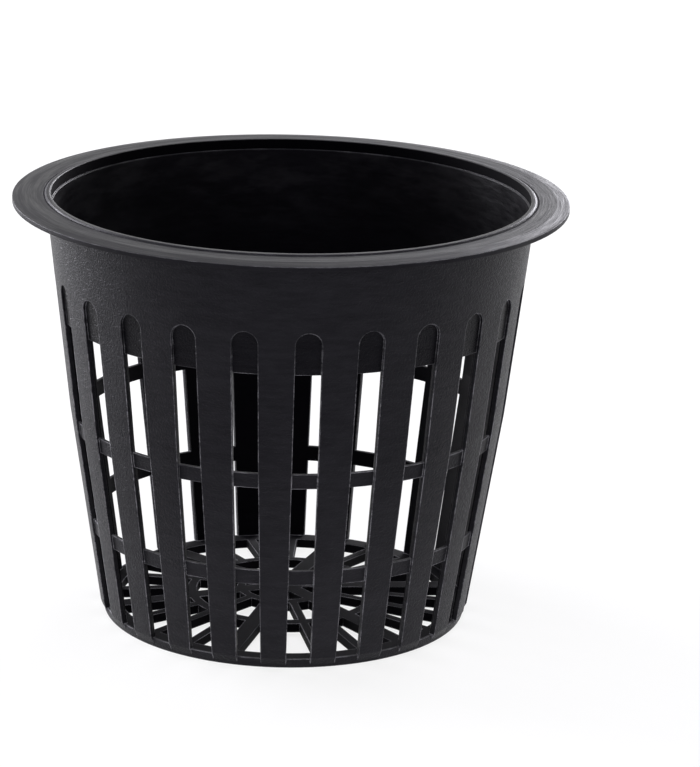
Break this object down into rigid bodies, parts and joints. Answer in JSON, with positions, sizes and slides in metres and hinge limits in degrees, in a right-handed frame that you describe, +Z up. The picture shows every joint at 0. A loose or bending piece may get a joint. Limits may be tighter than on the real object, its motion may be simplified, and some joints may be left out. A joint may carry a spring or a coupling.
{
  "type": "hydroponic net pot",
  "caption": "Tapered round basket pot with a slotted wall, two hoops, a flat rim flange and an open spoked floor, which holds a plant and its growing medium over water.",
  "frame": {"origin": "on the pot's axis, at the level that the base ring stands on", "axes": "+Z up along the pot's axis, out of its mouth; a slot is centred on each of X and Y"},
  "size_m": [0.083, 0.083, 0.065],
  "materials": {
    "black_plastic": "finely textured matte outside, satin rim"
  },
  "bodies": {
    "root": {"net_pot": "black_plastic"}
  },
  "joints": []
}
